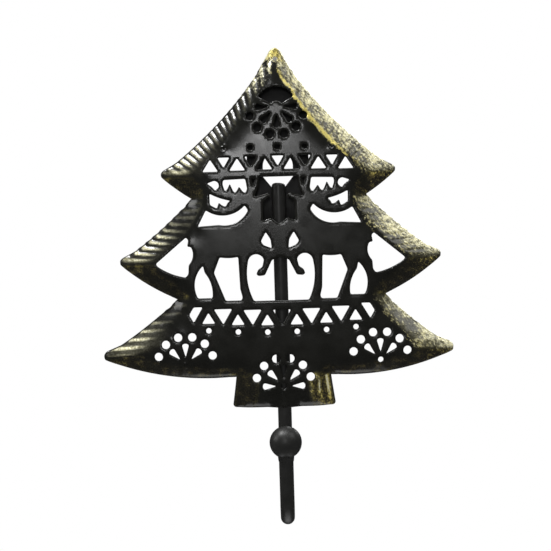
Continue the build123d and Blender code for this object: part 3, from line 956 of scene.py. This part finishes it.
# %% [markdown]
# Drawn and bent rod is never quite even. A noise takes up to a tenth of a millimetre off along the normals,
# which makes the highlight along the bar waver as on the real one.

# %% Swept bar
BAR_SIDES = 40
WEAR_DEEP, WEAR_SIZE = 0.12, 7.0

sweep, given, result = new_tree("Round bar", **{"Bar radius": 0.003, "Wear depth": 0.0, "Wear scale": 100.0})
ring = add(sweep, "GeometryNodeCurvePrimitiveCircle", {
    "Resolution": BAR_SIDES, "Radius": given["Bar radius"]}).outputs[0]
size = add(sweep, "GeometryNodeInputRadius").outputs[0]
swept = add(sweep, "GeometryNodeCurveToMesh", {
    "Curve": given["Geometry"], "Profile Curve": ring, "Scale": size, "Fill Caps": True}).outputs[0]
noise = add(sweep, "ShaderNodeTexNoise", {"Scale": given["Wear scale"], "Detail": 2.0}).outputs[0]
wear = add(sweep, "ShaderNodeMath", {0: noise, 1: given["Wear depth"]}, operation="MULTIPLY").outputs[0]
inward = add(sweep, "ShaderNodeMath", {0: wear, 1: -1.0}, operation="MULTIPLY").outputs[0]
normal = add(sweep, "GeometryNodeInputNormal").outputs[0]
offset = add(sweep, "ShaderNodeVectorMath", {0: normal, "Scale": inward}, operation="SCALE").outputs[0]
worn_bar = add(sweep, "GeometryNodeSetPosition", {"Geometry": swept, "Offset": offset}).outputs[0]
end_tree(sweep, worn_bar, bar_paint, result)

bar_mesh = shaped(path_object(points, radii), sweep, **{
    "Bar radius": bar_r, "Wear depth": WEAR_DEEP * MM, "Wear scale": per_mm(WEAR_SIZE)})
print("faces of the bar:", len(bar_mesh.polygons))

# %% [markdown]
# ## Welds
# The pieces are held by short welds: the bar to the hanging plate, and the bar to the back of the tree in two
# places. A weld is a row of overlapping drops. They could be set by hand, but a geometry tree sets them along
# a path, each a little different in size, and realises them into plain mesh.

# %% Drops along a path
DROP_SMALLEST, DROP_LARGEST, DROP_SEED = 0.8, 1.15, 4

bead, given, result = new_tree("Weld bead", **{"Spacing": 0.001, "Drop radius": 0.001})
dots = add(bead, "GeometryNodeCurveToPoints", {
    "Curve": given["Geometry"], "Length": given["Spacing"]}, mode="LENGTH").outputs[0]
drop_mesh = add(bead, "GeometryNodeMeshIcoSphere", {
    "Radius": given["Drop radius"], "Subdivisions": 3}).outputs[0]
sizes = add(bead, "FunctionNodeRandomValue", {
    2: DROP_SMALLEST, 3: DROP_LARGEST, "Seed": DROP_SEED}, data_type="FLOAT").outputs[1]
placed = add(bead, "GeometryNodeInstanceOnPoints", {
    "Points": dots, "Instance": drop_mesh, "Scale": sizes}).outputs[0]
end_tree(bead, placed, bar_paint, result)
print(bead.name, "nodes:", len(bead.nodes))

# %% Bar with its welds
DROP_STEP, DROP_R = 0.8, 0.75


def joined(name, meshes):
    """One mesh of several."""
    whole = bmesh.new()
    for part in meshes:
        whole.from_mesh(part)
    mesh = bpy.data.meshes.new(name)
    whole.to_mesh(mesh)
    whole.free()
    mesh.materials.append(meshes[0].materials[0])
    return mesh


plate_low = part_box("hanging_plate")[0]
bar_front, bar_back = shank_y - bar_r, shank_y + bar_r
welds = (  # distance from the middle, depth, and the heights of both ends
    (2.3 * MM, bar_back - 0.9 * MM, high.z - 4 * MM, plate_low.z + 1 * MM),
    (1.5 * MM, bar_front + 0.45 * MM, -0.070, -0.078),
    (1.5 * MM, bar_front + 0.45 * MM, -0.028, -0.035))
seams = []
for side in (-1, 1):
    for x, y, start, end in welds:
        path = path_object([(side * x, y, start), (side * x, y, end)])
        seams.append(shaped(path, bead, **{"Spacing": DROP_STEP * MM, "Drop radius": DROP_R * MM}))
as_piece("hook_rod", joined("hook_rod", [bar_mesh] + seams), "hook_bar")

# %% [markdown]
# ## The ball
# The ball is a turned steel bead, welded on the rod's tip. A sphere from the menu would lack the short collar
# with the rounded lower edge, which is the weld, ground smooth before painting. So the whole profile is
# turned, as on a lathe: half a circle first, then the collar.

# %% Profile of the ball
COLLAR_OVER = 0.3
BALL_POINTS = 60
COLLAR = ((0.25, 0.995), (0.5, 0.98), (0.75, 0.955), (0.9, 0.93), (1.0, 0.9))

low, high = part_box("hook_ball")
ball_r = (high.x - low.x) / 2
middle = Vector((0, (low.y + high.y) / 2, high.z - ball_r))
neck_r = bar_r + COLLAR_OVER * MM
meet = math.asin(neck_r / ball_r)
turns = np.linspace(0.0, math.pi - meet, BALL_POINTS)
profile = [(ball_r * math.sin(turn), ball_r * math.cos(turn)) for turn in turns]
neck_z = profile[-1][1]
neck = low.z - middle.z - neck_z
profile += [(neck_r * radius, neck_z + neck * share) for share, radius in COLLAR]
print("ball radius mm:", round(ball_r / MM, 2), "collar radius mm:", round(neck_r / MM, 2))

# %% Turned ball
SEGMENTS = 72
BALL_SHARP = 50

turned = bmesh.new()
turns = [2 * math.pi * k / SEGMENTS for k in range(SEGMENTS)]
rings = [[turned.verts.new(middle + Vector((radius * math.cos(t), radius * math.sin(t), z))) for t in turns]
         for radius, z in profile[1:]]
pole = turned.verts.new(middle + Vector((0, 0, ball_r)))
for k in range(SEGMENTS):
    after = (k + 1) % SEGMENTS
    turned.faces.new((pole, rings[0][k], rings[0][after]))
    for above, beneath in zip(rings, rings[1:]):
        turned.faces.new((above[k], beneath[k], beneath[after], above[after]))
turned.faces.new(list(reversed(rings[-1])))
bmesh.ops.recalc_face_normals(turned, faces=turned.faces)


def smooth_mesh(shape, name, paint, sharp):
    """A painted mesh of a finished shape, shaded smooth except at edges sharper than an angle."""
    for face in shape.faces:
        face.smooth = True
    mesh = bpy.data.meshes.new(name)
    shape.to_mesh(mesh)
    shape.free()
    mesh.materials.append(paint)
    mesh.set_sharp_from_angle(angle=math.radians(sharp))
    return mesh


as_piece("ball_tip", smooth_mesh(turned, "ball", ball_paint, BALL_SHARP), "hook_ball")

# %% [markdown]
# ## The hanging plate
# This is a flat strip with an arched hole, cut from thicker sheet. It could be drawn anew, but its CAD mesh
# has the right form, so a merged copy is used: flat areas are dissolved into single faces, and the sharp
# edges get a small bevel that catches light.

# %% Bevelled plate
FLAT_WITHIN = 0.5
BEVEL_FROM, BEVEL_W = 40, 0.18
PLATE_SHARP = 30

plate = bmesh.new()
plate.from_mesh(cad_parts["hanging_plate"].data)
bmesh.ops.remove_doubles(plate, verts=plate.verts, dist=1e-6)
bmesh.ops.dissolve_limit(plate, angle_limit=math.radians(FLAT_WITHIN), verts=plate.verts, edges=plate.edges)
bmesh.ops.recalc_face_normals(plate, faces=plate.faces)
sharp = [edge for edge in plate.edges if edge.calc_face_angle(0) > math.radians(BEVEL_FROM)]
bmesh.ops.bevel(plate, geom=sharp, offset=BEVEL_W * MM, segments=2, affect="EDGES", profile=0.5)
bmesh.ops.triangulate(plate, faces=plate.faces)
plate_mesh = smooth_mesh(plate, "hanging_plate_painted", shaded_plate_paint, PLATE_SHARP)
as_piece("hanging_strip", plate_mesh, "hanging_plate")

# %% [markdown]
# ## Floor
# The photo is a catalogue picture on white. A white wall behind the hook would take its shadow, which the
# photo doesn't show, so there is only a plain pale floor. It lies well below and keeps the shadow out of the
# picture.

# %% Floor
FLOOR_Z = -0.45
FIBRE = 40.0

paper, tree = new_material("pale_paper_floor")
# Matt paper: to the eye an even pale grey without highlights.
place = add(tree, "ShaderNodeTexCoord").outputs["Object"]
fibre = add(tree, "ShaderNodeTexNoise", {"Vector": place, "Scale": per_mm(FIBRE)}).outputs["Fac"]
shade = add(tree, "ShaderNodeMix", {
    0: fibre, 6: srgb("#e9e9e7"), 7: srgb("#efefed")}, data_type="RGBA").outputs[2]
shader = add(tree, "ShaderNodeBsdfPrincipled", {
    "Base Color": shade, "Roughness": 0.9, "Specular IOR Level": 0.1})
add(tree, "ShaderNodeOutputMaterial", {"Surface": shader.outputs[0]})

floor_mesh = bpy.data.meshes.new("floor")
corners = [(-1.3, -1.3, FLOOR_Z), (1.3, -1.3, FLOOR_Z), (1.3, 1.0, FLOOR_Z), (-1.3, 1.0, FLOOR_Z)]
floor_mesh.from_pydata(corners, [], [(0, 1, 2, 3)])
floor_mesh.materials.append(paper)
floor = in_scene("floor", floor_mesh)
floor.visible_glossy = False
floor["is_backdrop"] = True
print("floor at m:", FLOOR_Z)

# %% [markdown]
# ## World and lamps
# The camera sees a white world behind the hook. The hook itself is lit by a dimmer one, and its gloss mirrors
# a dark room, because a white one would turn the black enamel grey. Eight soft lamps do the rest: the key
# from the upper right makes the right rims shine, those from the left and above draw the flutes, two small
# ones in front give the sheen on the face, one lifts the hook from below, and one lights the back.

# %% World and lamps
SEEN, FILL, MIRRORED = 1.0, 0.6, 0.05
AIM, HOOK_AIM = (0, -0.008, -0.04), (0, -0.028, -0.14)
LAMPS = (  # name, place, point it is turned to, side in metres, power in watts
    ("key_upper_right", (0.50, -0.22, 0.46), AIM, 0.35, 1.25),
    ("front_sheen", (-0.042, -0.66, 0.088), AIM, 0.09, 0.40),
    ("front_upper", (-0.21, -0.60, 0.40), AIM, 0.06, 0.2),
    ("upper_left", (-0.32, -0.12, 0.64), AIM, 0.16, 5.2),
    ("overhead", (0.0, -0.16, 0.62), AIM, 0.25, 1.8),
    ("side_left", (-0.60, -0.10, 0.18), AIM, 0.25, 0.9),
    ("below", (0.0, 0.05, -0.40), HOOK_AIM, 0.2, 0.15),
    ("behind", (0.25, 0.60, 0.40), AIM, 0.60, 6.0))

world = bpy.data.worlds.new("white_studio")
bpy.context.scene.world = world
world.use_nodes = True
tree = world.node_tree
tree.nodes.clear()
ray = add(tree, "ShaderNodeLightPath").outputs
unseen = add(tree, "ShaderNodeMix", {
    0: ray["Is Glossy Ray"], 2: FILL, 3: MIRRORED}, data_type="FLOAT").outputs[0]
strength = add(tree, "ShaderNodeMix", {
    0: ray["Is Camera Ray"], 2: unseen, 3: SEEN}, data_type="FLOAT").outputs[0]
white = add(tree, "ShaderNodeBackground", {"Color": srgb("#ffffff"), "Strength": strength}).outputs[0]
add(tree, "ShaderNodeOutputWorld", {"Surface": white})

for name, place, aim, size, power in LAMPS:
    light = bpy.data.lights.new(name, "AREA")
    light.shape = "SQUARE"
    light.size, light.energy = size, power
    lamp = in_scene(name, light)
    lamp.location = place
    lamp.rotation_euler = (Vector(aim) - Vector(place)).to_track_quat("-Z", "Y").to_euler()
print("lamps:", [light.name for light in bpy.data.lights])

# %% [markdown]
# ## Camera
# The photo was taken from straight in front, at about half a metre, with the hook leaning a little to the
# left. Turning the hook would take it off its frame. So the lean goes into the camera's roll and the place of
# the object in the picture into its shift, and the object itself stays at the origin, unturned.

# %% Camera
CAM_DISTANCE, CAM_Z = 0.480, -0.0417
SENSOR_W, VIEW_W = 36.0, 0.2281
ROLL = 1.65

photo = bpy.data.cameras.new("photo")
photo.sensor_width = SENSOR_W
photo.lens = SENSOR_W * CAM_DISTANCE / VIEW_W
photo.shift_x, photo.shift_y = -0.0093, -0.0187
camera = in_scene("photo", photo)
camera.location = (0, front_depth * MM - CAM_DISTANCE, CAM_Z)
camera.rotation_euler = (math.radians(90), math.radians(ROLL), 0)
bpy.context.scene.camera = camera
bpy.context.scene.view_settings.view_transform = "Standard"
print("lens mm:", round(photo.lens, 2))

# %% [markdown]
# ## Size
# The box of what is shown is measured.

# %% Boxes and finish
low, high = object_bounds()
